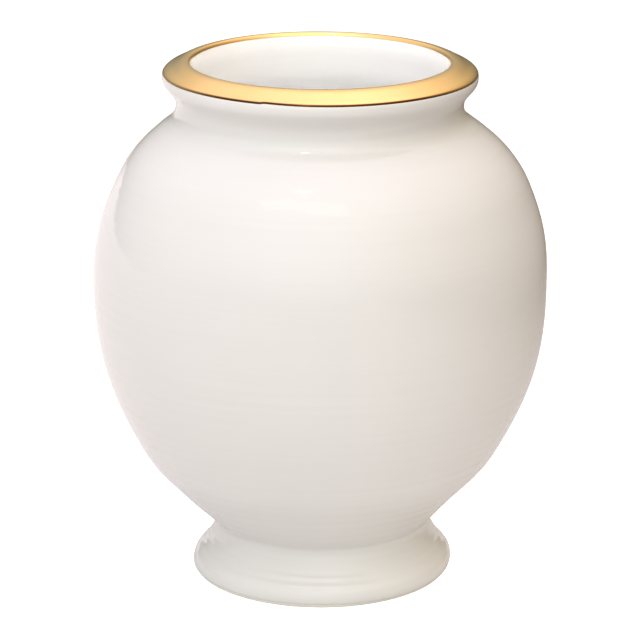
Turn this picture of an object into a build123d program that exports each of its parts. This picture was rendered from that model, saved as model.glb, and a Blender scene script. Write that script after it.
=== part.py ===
from build123d import *
from math import asin, cos, degrees, radians, sin
import os

# A hand-thrown porcelain vase: a round belly on a foot that is thrown on its own, a short neck
# and a thick everted lip under a band of gold lustre.  Z is the vase's axis, the table is z = 0
# and all sizes are in millimetres.

# Driving dimensions of the glazed and gilded vase
total_height = 230.0
belly_radius = 98.8
belly_height = 133.0
neck_radius = 62.0
neck_height = 210.8
lip_radius = 68.1
lip_height = 223.5
mouth_radius = 55.7
throat_radius = 54.9
waist_radius = 47.7
waist_height = 22.6
foot_radius = 57.4
foot_bulge_height = 3.7
standing_radius = 55.0
standing_width = 7.6
well_radius = 42.0
inside_floor_height = 28.4

# Layers of the finish
glaze = 0.5
gold = 0.15
bare_foot_height = 1.2

# The luted joint between foot and body: slip between two faces with rings scored into them
slip_thickness = 0.8
slip_bead = 2.2
score_depth = 0.7
score_half_width = 0.6
score_radii = [43.4, 44.9, 46.4]

# The waist is a tight hollow: its curvature below and above, and how far it turns each way
lower_waist_curve = 7.3
upper_waist_curve = 2.6
lower_waist_turn = -22.0
upper_waist_turn = 44.0

# A curve's handles as a share of its chord, which makes a quarter turn round
handle_share = 0.39

# A station is a point of an outline: its radius, its height, and the slope in degrees of the
# outline as it passes, which is 0 outwards, 90 upwards, 180 inwards and 270 downwards.


def shifted(stations, distance):
    """The stations of a parallel outline, to the right of the outline's direction."""
    moved = []
    for radius, height, slope in stations:
        new_radius = max(0.0, radius + distance * sin(radians(slope)))
        new_height = height - distance * cos(radians(slope))
        moved.append((new_radius, new_height, slope))
    return moved


def point(station):
    return Vector(station[0], 0, station[1])


def direction(station):
    return Vector(cos(radians(station[2])), 0, sin(radians(station[2])))


def span(start, end):
    """The edge between two stations: a line if both slopes point along it, or else a curve."""
    chord = point(end) - point(start)
    slack = 1e-6 * chord.length
    if direction(start).cross(chord).length < slack and direction(end).cross(chord).length < slack:
        return Line(point(start), point(end))
    reach = chord.length * handle_share
    first_handle = point(start) + direction(start) * reach
    last_handle = point(end) - direction(end) * reach
    return Bezier(point(start), first_handle, last_handle, point(end))


def curved(stations):
    return [span(start, end) for start, end in zip(stations, stations[1:])]


def straight(*stations):
    """Straight edges through stations or plain points, whatever their slopes."""
    return [Line(point(start), point(end)) for start, end in zip(stations, stations[1:])]


def turned(edges):
    """The solid that a closed outline makes when it turns once about the vase's axis."""
    return revolve(Face(Wire(edges)), Axis.Z, 360)


def coating(stations, thickness):
    """A layer between an outline and a parallel one to its right."""
    far_side = shifted(stations, thickness)
    ends = straight(stations[0], far_side[0]) + straight(stations[-1], far_side[-1])
    return turned(curved(stations) + curved(far_side) + ends)


def waist_station(turn):
    """The station of the waist's hollow whose slope has turned that far from upright."""
    curve = upper_waist_curve if turn > 0 else lower_waist_curve
    radius = waist_radius + curve * (1 - cos(radians(turn)))
    height = waist_height + curve * sin(radians(turn))
    return (radius, height, 90 - turn)


def scored_face(inner_radius, outer_station, height, depth):
    """A flat joint face, from inside to outside, with V grooves of that depth up or down."""
    points = [(inner_radius, height)]
    for radius in score_radii:
        points.append((radius - score_half_width, height))
        points.append((radius, height + depth))
        points.append((radius + score_half_width, height))
    return points + [outer_station]


# The glazed outside in three stretches: up the foot, across the slip, and up the body.  The
# slip's faces meet the waist just below and just above its narrowest point.
seam_bottom = waist_station(-degrees(asin(slip_thickness / 2 / lower_waist_curve)))
seam_top = waist_station(degrees(asin(slip_thickness / 2 / upper_waist_curve)))
foot_outside = [
    (56.9, bare_foot_height, 75),
    (foot_radius, foot_bulge_height, 90),
    (50.9, 14.0, 122),
    waist_station(lower_waist_turn),
    seam_bottom,
]
seam_outside = [seam_bottom, seam_top]
body_outside = [
    seam_top,
    waist_station(upper_waist_turn),
    (64.9, 41.4, 46),
    (79.4, 59.3, 61),
    (belly_radius, belly_height, 90),
    (90.3, 174.4, 113),
    (66.4, 202.8, 142),
    (neck_radius, neck_height, 90),
    (66.7, 219.6, 50),
    (lip_radius - gold, lip_height, 90),
]

# The lip's glaze under the gold, from its widest point over the sloping top into the mouth
lip_top = [
    (lip_radius - gold, lip_height, 90),
    (64.4, 227.2, 155),
    (57.0, total_height - gold, 180),
    (mouth_radius, 228.5, 250),
]

# The glazed inside, from the middle of the floor up to the mouth
inside = [
    (0, inside_floor_height, 0),
    (58.0, 44.6, 46),
    (73.4, 62.2, 61),
    (93.3, belly_height, 90),
    (84.9, 172.2, 113),
    (62.0, 199.6, 138),
    (throat_radius, 216.0, 92),
    (mouth_radius, 228.5, 70),
]

# The same surfaces one glaze thickness down, where the clay begins
foot_clay = shifted(foot_outside, -glaze)
seam_clay = shifted(seam_outside, -glaze)
body_clay = shifted(body_outside, -glaze)
lip_clay = shifted(lip_top, -glaze)
inside_clay = shifted(inside, glaze)

# The clay of the recess under the vase, from the standing face up its wall, round the bead of
# slip and across the body's underside to the axis
foot_top = seam_clay[0][1]
body_underside = seam_clay[1][1]
well = [
    (45.6, 2.4, 100),
    (well_radius, 14.0, 90),
    (well_radius, body_underside - slip_bead, 90),
    (well_radius - slip_bead, body_underside, 180),
    (0, body_underside, 180),
]

# The two faces of the joint
foot_joint = scored_face(well_radius, seam_clay[0], foot_top, -score_depth)
body_joint = scored_face(well_radius - slip_bead, seam_clay[1], body_underside, score_depth)


def foot_ring():
    outer_edge = (standing_radius, 0, 20)
    inner_edge = (standing_radius - standing_width, 0, 150)
    edges = curved([outer_edge] + foot_clay)
    edges += straight(*foot_joint)
    edges += straight(foot_joint[0], well[1])
    edges += curved([inner_edge] + well[:2])
    edges += straight(inner_edge, outer_edge)
    return turned(edges)


def foot_slip_joint():
    """The slip that lutes the foot to the body, wiped to a bead inside the well."""
    edges = curved(seam_clay)
    edges += straight(*body_joint)
    edges += curved(well[2:4])
    edges += straight(well[2], foot_joint[0])
    edges += straight(*foot_joint)
    return turned(edges)


def vessel_body():
    """Floor, belly, shoulder, neck and lip, which are thrown as one piece of clay."""
    underside_middle = (0, body_underside)
    edges = straight(underside_middle, *body_joint)
    edges += curved(body_clay)
    edges += curved(lip_clay)
    edges += curved(inside_clay)
    edges += straight(inside_clay[0], underside_middle)
    return turned(edges)


def outer_glaze():
    whole_outside = foot_outside + seam_outside[1:] + body_outside[1:] + lip_top[1:]
    return coating(whole_outside, -glaze)


parts = {
    "vessel_body": vessel_body(),
    "foot_ring": foot_ring(),
    "foot_slip_joint": foot_slip_joint(),
    "outer_glaze": outer_glaze(),
    "inner_glaze": coating(inside, glaze),
    "foot_well_glaze": coating(well, -glaze),
    "gold_band": coating(lip_top, gold),
}

os.makedirs("parts", exist_ok=True)
for name, solid in parts.items():
    export_step(solid, f"parts/{name}.step")
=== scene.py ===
"""Looks of the hand-thrown porcelain vase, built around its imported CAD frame. Lengths are metres."""
from math import cos, pi, radians, sin

import bpy
import numpy as np
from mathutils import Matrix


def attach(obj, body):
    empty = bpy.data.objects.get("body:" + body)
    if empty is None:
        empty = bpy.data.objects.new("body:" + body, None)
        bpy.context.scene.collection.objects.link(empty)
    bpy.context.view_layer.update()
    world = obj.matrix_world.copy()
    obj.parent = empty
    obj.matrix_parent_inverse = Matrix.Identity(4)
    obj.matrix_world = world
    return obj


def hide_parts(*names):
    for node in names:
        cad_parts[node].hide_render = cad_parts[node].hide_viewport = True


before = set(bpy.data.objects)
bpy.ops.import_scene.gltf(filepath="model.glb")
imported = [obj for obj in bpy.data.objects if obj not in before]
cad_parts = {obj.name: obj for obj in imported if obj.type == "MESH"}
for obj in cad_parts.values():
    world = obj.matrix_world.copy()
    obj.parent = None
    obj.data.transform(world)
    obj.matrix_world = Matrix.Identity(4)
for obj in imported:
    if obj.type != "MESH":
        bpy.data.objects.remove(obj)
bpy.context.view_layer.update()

MM = 0.001
BODY = "root"

# ---------------------------------------------------------------------------------------------
# The vase's sizes, as in the CAD model
# ---------------------------------------------------------------------------------------------

total_height = 230.0 * MM
belly_radius = 98.8 * MM
belly_height = 133.0 * MM
neck_radius = 62.0 * MM
neck_height = 210.8 * MM
lip_radius = 68.1 * MM
lip_height = 223.5 * MM
mouth_radius = 55.7 * MM
mouth_height = 228.5 * MM
throat_radius = 54.9 * MM
waist_radius = 47.7 * MM
waist_height = 22.6 * MM
foot_radius = 57.4 * MM
foot_bulge_height = 3.7 * MM
standing_radius = 55.0 * MM
standing_width = 7.6 * MM
well_radius = 42.0 * MM
inside_floor_height = 28.4 * MM
glaze = 0.5 * MM
gold = 0.15 * MM
bare_foot_height = 1.2 * MM
slip_thickness = 0.8 * MM
slip_bead = 2.2 * MM
lower_waist_curve = 7.3 * MM
upper_waist_curve = 2.6 * MM
lower_waist_turn = -22.0
upper_waist_turn = 44.0
handle_share = 0.39

# A station is a point of an outline: its radius, its height, and the slope in degrees of the
# outline as it passes, which is 0 outwards, 90 upwards, 180 inwards and 270 downwards.


def shifted(stations, distance):
    """The stations of a parallel outline, to the right of the outline's direction."""
    moved = []
    for radius, height, slope in stations:
        new_radius = max(0.0, radius + distance * sin(radians(slope)))
        moved.append((new_radius, height - distance * cos(radians(slope)), slope))
    return moved


def waist_station(turn):
    """The station of the waist's hollow whose slope has turned that far from upright."""
    curve = upper_waist_curve if turn > 0 else lower_waist_curve
    radius = waist_radius + curve * (1 - cos(radians(turn)))
    return (radius, waist_height + curve * sin(radians(turn)), 90 - turn)


# The glazed outside, up the foot and up the body
foot_outside = [
    (56.9 * MM, bare_foot_height, 75),
    (foot_radius, foot_bulge_height, 90),
    (50.9 * MM, 14.0 * MM, 122),
    waist_station(lower_waist_turn),
    waist_station(0),
]
body_outside = [
    waist_station(0),
    waist_station(upper_waist_turn),
    (64.9 * MM, 41.4 * MM, 46),
    (79.4 * MM, 59.3 * MM, 61),
    (belly_radius, belly_height, 90),
    (90.3 * MM, 174.4 * MM, 113),
    (66.4 * MM, 202.8 * MM, 142),
    (neck_radius, neck_height, 90),
    (66.7 * MM, 219.6 * MM, 50),
    (lip_radius - gold, lip_height, 90),
]

# The lip's glaze under the gold, from its widest point over the sloping top into the mouth
lip_top = [
    (lip_radius - gold, lip_height, 90),
    (64.4 * MM, 227.2 * MM, 155),
    (57.0 * MM, total_height - gold, 180),
    (mouth_radius, mouth_height, 250),
]

# The glazed inside, from the middle of the floor up to the mouth
inside = [
    (0, inside_floor_height, 0),
    (58.0 * MM, 44.6 * MM, 46),
    (73.4 * MM, 62.2 * MM, 61),
    (93.3 * MM, belly_height, 90),
    (84.9 * MM, 172.2 * MM, 113),
    (62.0 * MM, 199.6 * MM, 138),
    (throat_radius, 216.0 * MM, 92),
    (mouth_radius, mouth_height, 70),
]

# The clay of the recess under the vase, from the standing face round the slip to the axis
body_underside = waist_height + slip_thickness / 2
well = [
    (45.6 * MM, 2.4 * MM, 100),
    (well_radius, 14.0 * MM, 90),
    (well_radius, body_underside - slip_bead, 90),
    (well_radius - slip_bead, body_underside, 180),
    (0, body_underside, 180),
]


# ---------------------------------------------------------------------------------------------
# Outlines as smooth curves
# ---------------------------------------------------------------------------------------------

samples_per_span = 160


class Outline:
    """A smooth curve through stations, read by its length from the start."""

    def __init__(self, stations):
        share = np.linspace(0, 1, samples_per_span)[:, None]
        spans = []
        for start, end in zip(stations, stations[1:]):
            first, last = np.array(start[:2]), np.array(end[:2])
            reach = np.linalg.norm(last - first) * handle_share
            slopes = radians(start[2]), radians(end[2])
            first_handle = first + reach * np.array([cos(slopes[0]), sin(slopes[0])])
            last_handle = last - reach * np.array([cos(slopes[1]), sin(slopes[1])])
            curve = (1 - share) ** 3 * first + 3 * (1 - share) ** 2 * share * first_handle
            curve = curve + 3 * (1 - share) * share**2 * last_handle + share**3 * last
            spans.append(curve if not spans else curve[1:])
        self.points = np.vstack(spans)
        steps = np.linalg.norm(np.diff(self.points, axis=0), axis=1)
        self.along = np.concatenate([[0], np.cumsum(steps)])
        self.length = self.along[-1]
        travel = np.gradient(self.points, self.along, axis=0)
        travel /= np.linalg.norm(travel, axis=1)[:, None]
        self.across = np.stack([travel[:, 1], -travel[:, 0]], axis=1)

    def at(self, distance, offset=0.0):
        """Radius and height at a distance along, moved to the right by an offset."""
        values = [np.interp(distance, self.along, column) for column in self.points.T]
        normals = [np.interp(distance, self.along, column) for column in self.across.T]
        return values[0] + normals[0] * offset, values[1] + normals[1] * offset


def smooth_step(value, low, high):
    share = np.clip((value - low) / (high - low), 0, 1)
    return share * share * (3 - 2 * share)


def zone(height, start, full, fading, end):
    """1 in the middle of a stretch of height, and 0 outside it."""
    return smooth_step(height, start, full) * (1 - smooth_step(height, fading, end))


def ripple(angle, waves):
    """A wavy line round the vase, from waves with a count per turn, a lead and a height."""
    return sum(height * np.sin(count * angle + lead) for count, lead, height in waves)


# ---------------------------------------------------------------------------------------------
# What the hand leaves in a thrown pot
# ---------------------------------------------------------------------------------------------

# How far the middle of the pot wanders: the foot is luted on a little off centre
drift_heights = np.array([0, 3, 8, 16, 24, 36, 60, 90, 133, 178, 205, 216, 230]) * MM
drift_to_side = MM * np.array(
    [-0.3, 0.3, 1.1, 1.0, 0.5, -0.7, -0.4, -0.1, -0.4, 0.4, -0.7, -0.3, -0.3]
)
drift_steps = 461
drift_window = 25
drift_to_back = 0.5 * MM
drift_to_back_wave = 37 * MM

# The rim dips a little, as a share of the distance from the axis, and the body is slightly oval
lip_tilt_to_side = 0.004
lip_tilt_to_back = 0.007
lip_settled = 0.4 * MM
lip_tilt_start = 190 * MM
lip_tilt_end = 224 * MM
oval_share = 0.003
oval_lead = 0.8
oval_twist_per_metre = 6
oval_start = 25 * MM
oval_full = 90 * MM


def hand_thrown(points):
    """Moves points of the true turned form to where the slightly uneven pot has them."""
    x, y, z = points[..., 0], points[..., 1], points[..., 2]
    fine_heights = np.linspace(0, total_height, drift_steps)
    drift = np.interp(fine_heights, drift_heights, drift_to_side)
    window = np.hanning(drift_window)
    padded = np.pad(drift, drift_window // 2, mode="edge")
    drift = np.convolve(padded, window / window.sum(), mode="valid")
    side = np.interp(z, fine_heights, drift)
    depth = drift_to_back * np.sin(z / drift_to_back_wave)
    oval_angle = 2 * np.arctan2(y, x) - oval_lead - oval_twist_per_metre * z
    swell = 1 + oval_share * smooth_step(z, oval_start, oval_full) * np.cos(oval_angle)
    tilt = lip_tilt_to_back * y - lip_tilt_to_side * x - lip_settled
    raised = tilt * smooth_step(z, lip_tilt_start, lip_tilt_end)
    return np.stack([x * swell + side, y * swell + depth, z + raised], axis=-1)


# The potter's rings: how far apart they are and how deep, all over, low down and on the shoulder
ring_pitch = 4.8 * MM
fine_rings_per_ring = 2.17
ring_depth = 0.007 * MM
low_ring_depth = 0.014 * MM
shoulder_ring_depth = 0.010 * MM
fine_ring_depth = 0.002 * MM
low_fine_ring_depth = 0.005 * MM
low_rings = [24 * MM, 34 * MM, 95 * MM, 150 * MM]
shoulder_rings = [160 * MM, 185 * MM, 204 * MM, 212 * MM]
rings_fade = 212 * MM
rings_end = 220 * MM


# How the rings wander on their way round, in radians of their own wave
slow_wander = 0.35
slow_wander_per_metre = 19
quick_wander = 0.2
quick_wander_lead = -11
fine_wander = 1.7
fine_lead = 0.6


def throwing_rings(height, angle):
    """The relief of the potter's fingers on the outside, which climbs in a slow spiral."""
    wander = slow_wander * np.sin(angle + slow_wander_per_metre * height)
    wander = wander + quick_wander * np.sin(2 * angle + quick_wander_lead)
    turns = 2 * pi * height / ring_pitch - angle
    broad = np.sin(turns + wander)
    narrow = np.sin(fine_rings_per_ring * turns + fine_wander * wander + fine_lead)
    low_body = zone(height, *low_rings)
    broad_depth = ring_depth + low_ring_depth * low_body
    broad_depth = broad_depth + shoulder_ring_depth * zone(height, *shoulder_rings)
    narrow_depth = fine_ring_depth + low_fine_ring_depth * low_body
    away_from_lip = 1 - smooth_step(height, rings_fade, rings_end)
    return (broad_depth * broad + narrow_depth * narrow) * away_from_lip


# Four soft ridges round the foot, each a height, a depth and a width in millimetres
foot_ridges = [(7.2, 0.13, 0.75), (9.1, 0.10, 0.7), (12.4, 0.17, 0.9), (15.1, 0.17, 0.9)]
foot_ridge_lean = 0.25


def foot_relief(height, angle):
    relief = 0
    for place, depth, width in foot_ridges:
        lean = foot_ridge_lean * np.sin(angle + place)
        relief = relief + depth * np.exp(-(((height / MM - place - lean) / width) ** 2))
    return relief * MM


# ---------------------------------------------------------------------------------------------
# Meshes
# ---------------------------------------------------------------------------------------------

sharp_edge = radians(40)
axis_gap = 0.4 * MM
hidden_step = 3 * MM


def angles(count):
    return np.arange(count) * 2 * pi / count


def turned_points(radius, height, angle):
    x = radius * np.cos(angle)
    y = radius * np.sin(angle)
    return np.stack([x, y, height + 0 * angle], axis=-1)


def ring_mesh(name, rows, closed_loop):
    """A mesh from rows of points round the axis, which close on themselves or end in a pole."""
    count_rows, around = rows.shape[0], rows.shape[1]
    vertices = rows.reshape(-1, 3)
    faces = []
    last_row = count_rows if closed_loop else count_rows - 1
    index = np.arange(count_rows * around).reshape(count_rows, around)
    for row in range(last_row):
        here, above = index[row], index[(row + 1) % count_rows]
        quads = np.stack([here, np.roll(here, -1), np.roll(above, -1), above], axis=1)
        faces.extend(quads.tolist())
    if not closed_loop:
        poles = np.array([rows[0].mean(axis=0), rows[-1].mean(axis=0)])
        vertices = np.vstack([vertices, poles])
        first_pole = count_rows * around
        bottom, top = index[0], index[-1]
        faces.extend([[first_pole, b, a] for a, b in zip(bottom, np.roll(bottom, -1))])
        faces.extend([[first_pole + 1, a, b] for a, b in zip(top, np.roll(top, -1))])
    mesh = bpy.data.meshes.new(name)
    mesh.from_pydata(vertices.tolist(), [], faces)
    mesh.validate()
    mesh.update()
    piece = bpy.data.objects.new(name, mesh)
    bpy.context.scene.collection.objects.link(piece)
    return piece


def face_out(mesh):
    """Turns a closed mesh's faces outwards, by the sign of its volume."""
    mesh.calc_loop_triangles()
    corners = np.array([t.vertices for t in mesh.loop_triangles])
    places = np.array([v.co for v in mesh.vertices])
    a, b, c = places[corners[:, 0]], places[corners[:, 1]], places[corners[:, 2]]
    if np.einsum("ij,ij->i", a, np.cross(b, c)).sum() < 0:
        mesh.flip_normals()
    mesh.polygons.foreach_set("use_smooth", [True] * len(mesh.polygons))
    mesh.update()


def finish_piece(piece, node, material):
    face_out(piece.data)
    piece.data.materials.append(material)
    piece.data.set_sharp_from_angle(angle=sharp_edge)
    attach(piece, BODY)
    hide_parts(node)


def even_steps(length, spacing):
    return np.linspace(0, 1, max(2, int(round(length / spacing)) + 1))


def coat(name, outline, around, spacing, over, under, start, hidden_spacing=hidden_step):
    """A closed layer on an outline. over and under give the offsets of its two faces, over as
    a function of the distance along and the angle; start is where it begins at each angle."""
    angle = angles(around)[None, :]
    begins = start(angle)

    def face(spacing, offset):
        share = even_steps(outline.length, spacing)[:, None]
        along = begins + share * (outline.length - begins)
        depth = offset(along, angle) if callable(offset) else np.full_like(along, offset)
        radius, height = outline.at(along, depth)
        return turned_points(radius, height, angle + 0 * along)

    outer, inner = face(spacing, over), face(hidden_spacing, under)
    return ring_mesh(name, hand_thrown(np.concatenate([outer, inner[::-1]])), True)


def closed_turned(name, outline_points, around, poles):
    """A closed turned mesh from (radius, height) points; poles says that it ends on the axis."""
    angle = angles(around)[None, :]
    radius, height = outline_points[:, :1], outline_points[:, 1:]
    rows = turned_points(radius, height + 0 * angle, angle + 0 * radius)
    return ring_mesh(name, hand_thrown(rows), not poles)


def layer_points(outline, spacing, offset, reverse=False):
    along = even_steps(outline.length, spacing) * outline.length
    radius, height = outline.at(along, offset)
    points = np.stack([radius, height], axis=1)
    return points[::-1] if reverse else points


def off_axis(points):
    """Leaves out points on the axis, where the mesh closes in a fan round one pole."""
    return points[points[:, 0] > axis_gap]


# ---------------------------------------------------------------------------------------------
# The glaze coats
# ---------------------------------------------------------------------------------------------

outside_line = Outline(foot_outside + body_outside[1:] + lip_top[1:])
lip_line = Outline(lip_top)
inside_line = Outline(inside)
well_line = Outline(well)
lip_start = outside_line.length - lip_line.length

# Columns round each piece, and the step between the rows that show
glaze_columns = 320
gold_columns = 384
foot_columns = 256
hidden_columns = 192
seam_columns = 128
outer_glaze_step = 0.75 * MM
inner_glaze_step = 1.2 * MM
gold_step = 0.3 * MM
hidden_gold_step = 0.6 * MM
foot_step = 0.8 * MM
body_step = 2 * MM
fine_step = 0.2 * MM
bead_step = 0.3 * MM

# The wiped lower edge of the glaze isn't quite level, and swells in a rounded bead
glaze_edge = 0.25 * MM
glaze_edge_waves = [(3, 1.0, 0.14 * MM), (7, 0.0, 0.10 * MM)]
glaze_bead_width = 0.9 * MM
glaze_bead_share = 0.8
relief_fade = 6 * MM


def glaze_start(angle):
    return glaze_edge + ripple(angle, glaze_edge_waves)


def outer_relief(along, angle):
    height = outside_line.at(along)[1]
    below_lip = 1 - smooth_step(along, lip_start - relief_fade, lip_start)
    return (throwing_rings(height, angle) + foot_relief(height, angle)) * below_lip


def outer_glaze_face(along, angle):
    """The glaze is thin at its wiped edge, and swells to its full depth in a rounded bead."""
    from_edge = np.clip((along - glaze_start(angle)) / glaze_bead_width, 0, 1)
    rounding = np.sqrt(np.clip(1 - (1 - from_edge) ** 2, 0, 1))
    return outer_relief(along, angle) - glaze * (1 - rounding) * glaze_bead_share


def make_outer_glaze(material):
    piece = coat(
        "outer_glaze_coat", outside_line, glaze_columns, outer_glaze_step,
        outer_glaze_face, -glaze, glaze_start,
    )
    finish_piece(piece, "outer_glaze", material)


def make_inner_glaze(material):
    visible = off_axis(layer_points(inside_line, inner_glaze_step, 0.0))
    hidden = off_axis(layer_points(inside_line, hidden_step, glaze, reverse=True))
    points = np.concatenate([visible, hidden])
    piece = closed_turned("inner_glaze_coat", points, glaze_columns, True)
    finish_piece(piece, "inner_glaze", material)


def make_well_glaze(material):
    visible = off_axis(layer_points(well_line, foot_step, -glaze))
    hidden = off_axis(layer_points(well_line, body_step, 0.0, reverse=True))
    points = np.concatenate([visible, hidden])[::-1]
    piece = closed_turned("foot_well_glaze_coat", points, hidden_columns, True)
    finish_piece(piece, "foot_well_glaze", material)


# ---------------------------------------------------------------------------------------------
# The gold
# ---------------------------------------------------------------------------------------------

# Its lower edge as brushed: higher at the front, wavy, with a step where the brush came round
gold_edge = 0.95 * MM
gold_edge_waves = [(1, 0.0, -0.62 * MM), (2, 0.4, 0.16 * MM), (5, 0.0, 0.06 * MM)]
brush_step_angle = -pi / 2 - 0.38
brush_step = 0.45 * MM
brush_step_fade = 0.25
brush_step_rise = 0.035

# How thick the layer is at its edge and further in, as shares of the gold's thickness
gold_edge_width = 0.25 * MM
gold_edge_share = 0.15
gold_swell_share = 0.75
gold_under_share = 0.02

# The painted dark reflection, a brown line along the gold's lower edge: it is widest at the front, and
# there is a painted trace of it at the mouth's edge
painted_reflection_full = 0.75 * MM
painted_reflection_end = 1.25 * MM
painted_reflection_at_back = 0.35
painted_reflection_front_start = 0.2
painted_reflection_front_full = 0.85
painted_reflection_at_mouth = 0.1
painted_reflection_mouth_start = 0.955
painted_reflection_mouth_full = 0.985


def gold_start(angle):
    turn = np.mod(angle - brush_step_angle, 2 * pi)
    overlap = brush_step * np.exp(-turn / brush_step_fade) * smooth_step(turn, 0, brush_step_rise)
    return gold_edge + ripple(angle, gold_edge_waves) + overlap


def gold_face(along, angle):
    from_edge = np.clip((along - gold_start(angle)) / gold_edge_width, 0, 1)
    return gold * (gold_edge_share + gold_swell_share * np.sqrt(from_edge))


def mark_painted_reflection_edge(mesh):
    """Stores at each point how strongly the painted dark reflection shows on the gold there, for its
    material to read.
    """
    count = len(mesh.vertices) // gold_columns
    shares = even_steps(lip_line.length, gold_step)
    share = np.zeros((count, 1))
    share[: len(shares), 0] = shares
    angle = np.broadcast_to(angles(gold_columns), (count, gold_columns))
    from_edge = share * (lip_line.length - gold_start(angle))
    in_front = smooth_step(-np.sin(angle), painted_reflection_front_start, painted_reflection_front_full)
    strength = painted_reflection_at_back + (1 - painted_reflection_at_back) * in_front
    painted_reflection = strength * (1 - smooth_step(from_edge, painted_reflection_full, painted_reflection_end))
    painted_reflection = painted_reflection + painted_reflection_at_mouth * smooth_step(share, painted_reflection_mouth_start, painted_reflection_mouth_full)
    attribute = mesh.attributes.new("painted_reflection_edge", "FLOAT", "POINT")
    attribute.data.foreach_set("value", painted_reflection.ravel().astype(np.float32))


def make_gold_band(material):
    piece = coat(
        "gold_lustre_band", lip_line, gold_columns, gold_step,
        gold_face, gold_under_share * gold, gold_start, hidden_gold_step,
    )
    mark_painted_reflection_edge(piece.data)
    finish_piece(piece, "gold_band", material)


# ---------------------------------------------------------------------------------------------
# The clay and the slip
# ---------------------------------------------------------------------------------------------

foot_top = waist_height - slip_thickness / 2
body_seam_turn = 8
foot_seam_turn = -4
foot_top_radius = 46.9 * MM
underside_points = 16
underside_margin = 1 * MM
standing_points = 24
turning_mark_depth = 0.03 * MM
turning_mark_pitch = 0.9 * MM


def make_vessel_body(material):
    body_line = Outline([waist_station(body_seam_turn)] + body_outside[1:] + lip_top[1:])
    outside_points = layer_points(body_line, body_step, -glaze)
    inside_points = layer_points(inside_line, body_step, glaze, reverse=True)
    last_radius = outside_points[0, 0] - underside_margin
    radii = np.linspace(underside_margin, last_radius, underside_points)
    underside = np.stack([radii, np.full_like(radii, body_underside)], axis=1)
    points = off_axis(np.concatenate([underside, outside_points, inside_points]))
    piece = closed_turned("vessel_body_clay", points, hidden_columns, True)
    finish_piece(piece, "vessel_body", material)


def make_foot_ring(material):
    inner_radius = standing_radius - standing_width
    edge_line = Outline([(standing_radius, 0, 20), shifted(foot_outside, -glaze)[0]])
    side_line = Outline(foot_outside[:-1] + [waist_station(foot_seam_turn)])
    well_side = Outline([(inner_radius, 0, 150)] + well[:2])
    radii = np.linspace(inner_radius, standing_radius, standing_points)[1:-1]
    turning_marks = turning_mark_depth * (1 + np.sin(radii / turning_mark_pitch * 2 * pi))
    points = np.concatenate([
        np.stack([radii, turning_marks], axis=1),
        layer_points(edge_line, fine_step, 0.0)[:-1],
        layer_points(side_line, foot_step, -glaze),
        [[foot_top_radius, foot_top], [well_radius, foot_top]],
        layer_points(well_side, foot_step, 0.0, reverse=True),
    ])
    piece = closed_turned("foot_ring_clay", points, foot_columns, False)
    finish_piece(piece, "foot_ring", material)


def make_slip_joint(material):
    edge = waist_radius - glaze
    bead = layer_points(Outline(well[2:4]), bead_step, 0.0, reverse=True)
    corners = [[well_radius, foot_top], [edge, foot_top], [edge, body_underside]]
    piece = closed_turned("foot_slip_seam", np.concatenate([corners, bead]), seam_columns, False)
    finish_piece(piece, "foot_slip_joint", material)


# ---------------------------------------------------------------------------------------------
# Materials
# ---------------------------------------------------------------------------------------------

# The sockets of a colour mix, which are known by number
mix_share = 0
mix_first = 6
mix_second = 7
mix_result = 2

# Most of a noise texture's values lie in this range
noise_low = 0.3
noise_high = 0.7

# Each finish, from its glossiest to its dullest, and how strongly its bumps show
bump_height = 0.1 * MM
glaze_roughness = (0.056, 0.091)
gold_roughness = (0.14, 0.22)
clay_roughness = (0.62, 0.80)
glaze_ring_bump = 0.07
glaze_skin_bump = 0.04
brush_streak_bump = 0.10
clay_grain_bump = 0.3
glaze_ior = 1.5

# The rings' darkest and lightest shares of the glaze's tint
ring_tints = (0.992, 1.008)


class Nodes:
    """Short ways to add and link the nodes of a tree."""

    def __init__(self, tree):
        self.tree = tree

    def put(self, value, socket):
        """Links another node's output to a socket, or gives it a plain value."""
        if isinstance(value, bpy.types.NodeSocket):
            self.tree.links.new(value, socket)
        else:
            socket.default_value = value

    def add(self, kind, inputs=None, **settings):
        node = self.tree.nodes.new(kind)
        for name, value in settings.items():
            setattr(node, name, value)
        for name, value in (inputs or {}).items():
            self.put(value, node.inputs[name])
        return node

    def math(self, operation, first, second):
        return self.add("ShaderNodeMath", {0: first, 1: second}, operation=operation).outputs[0]

    def range(self, value, low, high, from_low=0.0, from_high=1.0):
        inputs = {"From Min": from_low, "From Max": from_high, "To Min": low, "To Max": high}
        return self.add("ShaderNodeMapRange", {"Value": value} | inputs).outputs["Result"]

    def mix(self, share, first, second, blend="MIX"):
        inputs = {mix_share: share, mix_first: first, mix_second: second}
        node = self.add("ShaderNodeMix", inputs, data_type="RGBA", blend_type=blend)
        return node.outputs[mix_result]


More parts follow.
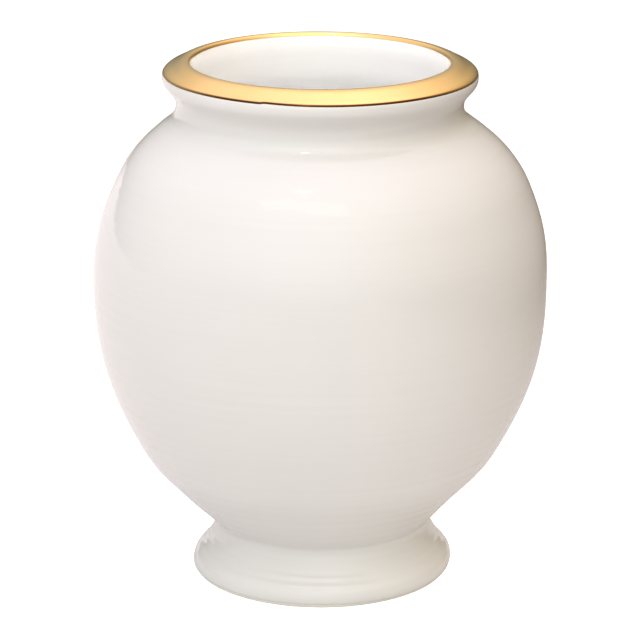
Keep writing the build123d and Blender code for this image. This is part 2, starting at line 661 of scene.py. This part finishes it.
class Material(Nodes):
    """A new material's tree, with its shader and the textures that several of them use."""

    def __init__(self, name):
        self.material = bpy.data.materials.new(name)
        self.material.use_nodes = True
        super().__init__(self.material.node_tree)
        self.shader = self.tree.nodes["Principled BSDF"]
        self.place = self.add("ShaderNodeTexCoord").outputs["Object"]

    def noise(self, scale, detail):
        inputs = {"Vector": self.place, "Scale": scale, "Detail": detail}
        return self.add("ShaderNodeTexNoise", inputs).outputs["Fac"]

    def rings_of_noise(self, scale_round, scale_up, detail):
        """Noise drawn out into rings round the vase."""
        scale = (scale_round, scale_round, scale_up)
        place = self.add("ShaderNodeMapping", {"Vector": self.place, "Scale": scale}).outputs[0]
        inputs = {"Vector": place, "Scale": 1.0, "Detail": detail}
        return self.add("ShaderNodeTexNoise", inputs).outputs["Fac"]

    def spread(self, noise, low, high):
        """A noise's usual values, spread from low to high."""
        return self.range(noise, low, high, noise_low, noise_high)

    def bump(self, height, strength, **under):
        inputs = {"Height": height, "Strength": strength, "Distance": bump_height} | under
        return self.add("ShaderNodeBump", inputs).outputs["Normal"]

    def set(self, **inputs):
        """Sets or links the shader's sockets; an underscore in a name stands for a space."""
        for name, value in inputs.items():
            self.put(value, self.shader.inputs[name.replace("_", " ")])
        return self.material


def rgb(red, green, blue):
    return (red, green, blue, 1.0)


ivory_thick, ivory_thin = rgb(0.608, 0.594, 0.568), rgb(0.630, 0.618, 0.596)
# The inside's glaze: partly its own whiter tint than the ivory outside, and partly painted light that
# lightens the shaded inside and the recess under the foot
liner_plus_painted_light_thick, liner_plus_painted_light_thin = rgb(0.925, 0.92, 0.905), rgb(0.94, 0.935, 0.925)
gold_deep, gold_pale = rgb(0.83, 0.53, 0.20), rgb(0.87, 0.58, 0.24)
# The brown of the painted dark reflection along the gold's edge
painted_reflection_brown = rgb(0.06, 0.02, 0.003)
clay_dark, clay_light = rgb(0.70, 0.65, 0.58), rgb(0.78, 0.74, 0.68)
slip_dark, slip_light = rgb(0.68, 0.63, 0.56), rgb(0.76, 0.72, 0.66)
floor_near, floor_far = rgb(0.76, 0.755, 0.745), rgb(0.13, 0.11, 0.08)


def glaze_material(name, thick, thin):
    """Glossy glaze: its tint pools and thins in soft clouds, under a fine ringed skin."""
    m = Material(name)
    rings = m.rings_of_noise(scale_round=14, scale_up=620, detail=2.0)
    clouds = m.noise(scale=9.0, detail=3.0)
    pitting = m.noise(scale=60.0, detail=4.0)
    skin = m.noise(scale=420.0, detail=2.0)
    tint = m.mix(m.spread(clouds, 0, 1), thick, thin)
    ring_tint = m.spread(rings, *ring_tints)
    grey = m.add("ShaderNodeCombineColor", dict.fromkeys(("Red", "Green", "Blue"), ring_tint))
    ring_bump = m.bump(rings, glaze_ring_bump)
    return m.set(
        Base_Color=m.mix(1.0, tint, grey.outputs[0], blend="MULTIPLY"),
        Roughness=m.spread(pitting, *glaze_roughness),
        Normal=m.bump(skin, glaze_skin_bump, Normal=ring_bump),
        IOR=glaze_ior,
    )


def gold_material():
    """Burnished gold lustre with the brush's faint streaks, and a painted dark brown reflection mixed
    in along its edge.
    """
    m = Material("gold_lustre")
    streaks = m.rings_of_noise(scale_round=90, scale_up=1500, detail=4.0)
    clouds = m.noise(scale=40.0, detail=3.0)
    colour = m.mix(m.spread(clouds, 0, 1), gold_deep, gold_pale)
    painted_reflection = m.add("ShaderNodeAttribute", attribute_name="painted_reflection_edge").outputs["Fac"]
    return m.set(
        # The gold's colour with the painted dark reflection mixed in along its edge
        Base_Color=m.mix(painted_reflection, colour, painted_reflection_brown),
        Roughness=m.spread(streaks, *gold_roughness),
        Normal=m.bump(streaks, brush_streak_bump),
        Metallic=1.0,
    )


def clay_material(name, dark, light):
    """Bare fired porcelain: matt and finely grained."""
    m = Material(name)
    grain = m.noise(scale=900.0, detail=4.0)
    clouds = m.noise(scale=30.0, detail=3.0)
    colour = m.mix(m.range(clouds, 0, 1, 0.25, 0.75), dark, light)
    return m.set(
        Base_Color=m.mix(m.range(grain, 0, 0.35, 0.5, 0.8), colour, dark),
        Roughness=m.spread(grain, *clay_roughness),
        Normal=m.bump(grain, clay_grain_bump),
    )


# ---------------------------------------------------------------------------------------------
# Stage, camera and lights
# ---------------------------------------------------------------------------------------------

camera_distance = 1.380
camera_elevation = radians(16.73)
camera_reach = 50
film_width = 36.0
aim_height = 113.2 * MM
aim_side = -0.44 * MM
picture_width = 280.6 * MM

# The floor darkens away to the right and behind, between two distances from the vase
floor_half_size = 8.0
darker_way = (0.9, 0.45, 0.0)
darker_start = 0.05
darker_end = 0.50
floor_glow = 1.0

# Area lights that give the small bright reflections: name, azimuth, elevation, distance, width,
# height and power. Azimuth 0 is the camera's side and 90 its right.
softboxes = [
    ("overhead_strip", -12, 57, 1.6, 1.1, 0.30, 0.9),
    ("glint", -18, 70, 1.5, 0.05, 0.05, 0.8),
]

# A spot straight above the mouth, whose cone is as wide as this radius where it enters
mouth_light_height = 1.2
mouth_light_radius = 45 * MM
mouth_light_power = 90.0

# The studio round the vase, as broad soft patches of light: azimuth and elevation as above,
# how narrow the patch is, and its colour and strength.
sky_patches = [
    (-5, 32, 3, (1.72, 1.85, 1.88)),
    (55, 52, 4, (1.00, 0.84, 0.62)),
    (75, 10, 3, (0.32, 0.23, 0.12)),
    (-82, 20, 4, (1.16, 1.08, 1.03)),
    (-150, 30, 4, (0.50, 0.52, 0.46)),
    (180, 75, 4, (1.30, 1.13, 1.62)),
    (150, 45, 4, (0.62, 0.54, 0.26)),
]


def place_object(name, data, location, rotation=(0, 0, 0)):
    placed = bpy.data.objects.new(name, data)
    placed.location = location
    placed.rotation_euler = rotation
    bpy.context.scene.collection.objects.link(placed)
    return placed


def seen_from_vase(azimuth, elevation):
    """The direction from the vase to an azimuth and an elevation."""
    turn, rise = radians(azimuth), radians(elevation)
    return np.array([sin(turn) * cos(rise), -cos(turn) * cos(rise), sin(rise)])


def make_camera():
    """A long lens that sees the vase from a little above."""
    data = bpy.data.cameras.new("camera")
    data.sensor_width = film_width
    data.lens = film_width * camera_distance / picture_width
    data.clip_end = camera_reach
    height = aim_height + camera_distance * sin(camera_elevation)
    location = (aim_side, -camera_distance * cos(camera_elevation), height)
    rotation = (pi / 2 - camera_elevation, 0, 0)
    bpy.context.scene.camera = place_object("camera", data, location, rotation)


def make_floor():
    """A plain floor with a glow that only the camera sees, so that it comes out white."""
    half = floor_half_size
    corners = [(-half, -half, 0), (half, -half, 0), (half, half, 0), (-half, half, 0)]
    mesh = bpy.data.meshes.new("floor")
    mesh.from_pydata(corners, [], [(0, 1, 2, 3)])
    m = Material("floor_white")
    away = m.add("ShaderNodeVectorMath", {0: m.place, 1: darker_way}, operation="DOT_PRODUCT")
    darker = m.range(away.outputs["Value"], 0, 1, darker_start, darker_end)
    seen = m.add("ShaderNodeLightPath").outputs["Is Camera Ray"]
    mesh.materials.append(m.set(
        Base_Color=m.mix(darker, floor_near, floor_far),
        Roughness=0.9,
        Specular_IOR_Level=0.0,
        Emission_Color=rgb(1, 1, 1),
        Emission_Strength=m.range(seen, 0.0, floor_glow),
    ))
    place_object("floor", mesh, (0, 0, 0))


def make_softbox(name, azimuth, elevation, distance, width, height, power):
    data = bpy.data.lights.new(name, "AREA")
    data.shape = "RECTANGLE"
    data.size = width
    data.size_y = height
    data.energy = power
    location = distance * seen_from_vase(azimuth, elevation) + [0, 0, aim_height]
    rotation = (pi / 2 - radians(elevation), 0, radians(azimuth))
    place_object(name, data, location, rotation)


def make_mouth_light():
    data = bpy.data.lights.new("into_the_mouth", "SPOT")
    data.energy = mouth_light_power
    data.spot_size = 2 * np.arctan(mouth_light_radius / (mouth_light_height - total_height))
    data.spot_blend = 1.0
    place_object("into_the_mouth", data, (0, 0, mouth_light_height))


def make_world():
    world = bpy.data.worlds.new("studio")
    world.use_nodes = True
    n = Nodes(world.node_tree)
    outwards = n.add("ShaderNodeTexCoord").outputs["Generated"]
    total = (0, 0, 0)
    for azimuth, elevation, narrow, colour in sky_patches:
        centre = seen_from_vase(azimuth, elevation)
        along = n.add("ShaderNodeVectorMath", {0: outwards, 1: centre}, operation="DOT_PRODUCT")
        facing = n.math("MAXIMUM", along.outputs["Value"], 0)
        share = n.math("POWER", facing, narrow)
        patch = n.add("ShaderNodeVectorMath", {0: colour, "Scale": share}, operation="SCALE")
        both = n.add("ShaderNodeVectorMath", {0: patch.outputs[0], 1: total}, operation="ADD")
        total = both.outputs[0]
    n.put(total, n.tree.nodes["Background"].inputs["Color"])
    bpy.context.scene.world = world


def make_vase():
    # The inside and the recess under the foot share the liner, whose colour is lightened as painted
    # light
    liner_plus_painted_light = glaze_material("white_liner_plus_painted_light", liner_plus_painted_light_thick, liner_plus_painted_light_thin)
    clay = clay_material("bare_porcelain", clay_dark, clay_light)
    make_outer_glaze(glaze_material("ivory_glaze", ivory_thick, ivory_thin))
    make_inner_glaze(liner_plus_painted_light)
    make_well_glaze(liner_plus_painted_light)
    make_gold_band(gold_material())
    make_vessel_body(clay)
    make_foot_ring(clay)
    make_slip_joint(clay_material("slip", slip_dark, slip_light))


make_vase()
make_camera()
make_floor()
for softbox in softboxes:
    make_softbox(*softbox)
make_mouth_light()
make_world()
bpy.context.scene.view_settings.view_transform = "Standard"
bpy.context.view_layer.update()
